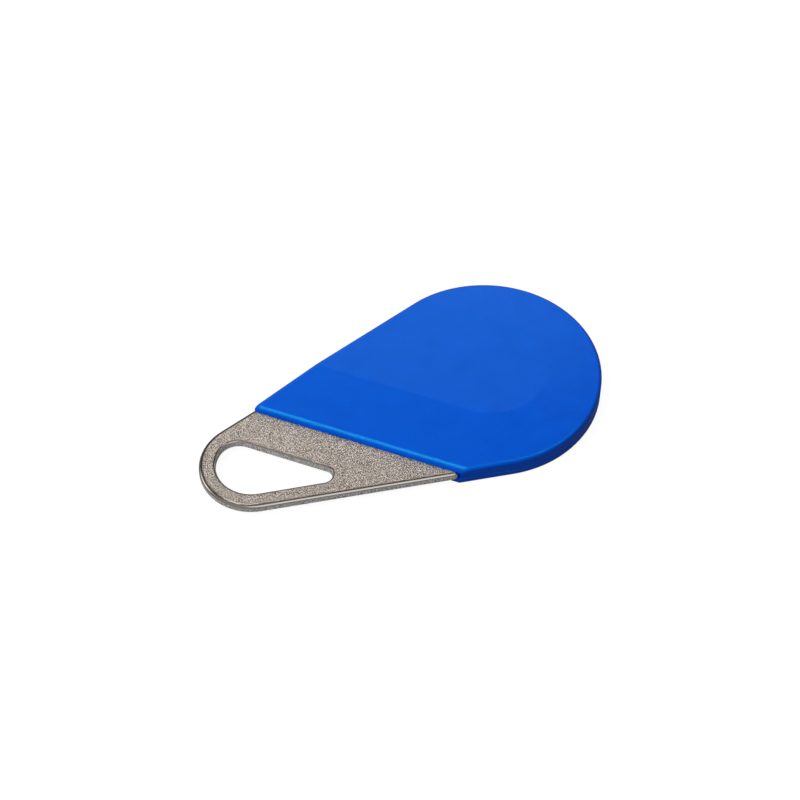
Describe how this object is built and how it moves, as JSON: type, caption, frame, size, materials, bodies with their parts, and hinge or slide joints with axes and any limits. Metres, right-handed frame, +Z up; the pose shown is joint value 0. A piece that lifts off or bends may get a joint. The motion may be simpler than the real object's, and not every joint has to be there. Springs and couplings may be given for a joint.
{
  "type": "bluetooth tracker tag",
  "caption": "Slim teardrop key-ring tracker: a sealed plastic head with an oblique front edge and a thumb plateau, on a steel plate with a rounded triangular key eye.",
  "frame": {"origin": "on the rest face, under the centre of the round head", "axes": "+X from the eye towards the head, +Z up from the rest face, +Y to the side where the thumb plateau runs out"},
  "size_m": [0.0647, 0.035, 0.0042],
  "materials": {
    "blue_cover": "satin, fine moulded texture",
    "key_steel": "tumbled, grainy",
    "sealant": "cured bead",
    "board": "solder mask",
    "chip_black": "moulded resin",
    "crystal_lid": "plated lid",
    "ceramic_white": "fired, unglazed",
    "ferrite": "sintered",
    "winding": "enamelled copper",
    "capacitor_body": "fired",
    "resistor_body": "glassy",
    "gold_pad": "gold flash",
    "cell_steel": "bright nickel plate",
    "gasket": "nylon",
    "lithium": "rolled foil",
    "separator": "non-woven",
    "cathode": "pressed powder",
    "film": "polyimide film",
    "nickel": "nickel strip",
    "foam": "closed-cell foam",
    "adhesive": "double-sided tape",
    "sounder_brass": "rolled",
    "sounder_ceramic": "silvered",
    "spring_steel": "sprung strip",
    "actuator": "moulded"
  },
  "bodies": {
    "tag": {"bottom_cover": "blue_cover", "top_cover": "blue_cover", "key_plate": "key_steel", "seal_bead": "sealant", "circuit_board": "board", "radio_chip": "chip_black", "main_crystal": "crystal_lid", "clock_crystal": "crystal_lid", "chip_antenna": "ceramic_white", "sounder_inductor": "ferrite", "inductor_winding": "winding", "chip_capacitors": "capacitor_body", "chip_resistors": "resistor_body", "test_pads": "gold_pad", "cell_can": "cell_steel", "cell_cap": "cell_steel", "cell_gasket": "gasket", "cell_anode": "lithium", "cell_separator": "separator", "cell_cathode": "cathode", "insulating_film": "film", "negative_tab": "nickel", "positive_tab": "nickel", "foam_pad": "foam", "sounder_adhesive": "adhesive", "sounder_disc": "sounder_brass", "sounder_ceramic": "sounder_ceramic", "disc_contact": "spring_steel", "ceramic_contact": "spring_steel", "snap_dome": "spring_steel", "dome_tape": "film"},
    "button": {"button_actuator": "actuator"}
  },
  "joints": [
    {"name": "button_press", "type": "slide", "parent": "tag", "child": "button", "axis": [0, 0, -1], "range_m": [0, 0.0002], "stiffness_N_per_m": 8000, "deforming": ["snap_dome", "dome_tape"]}
  ]
}
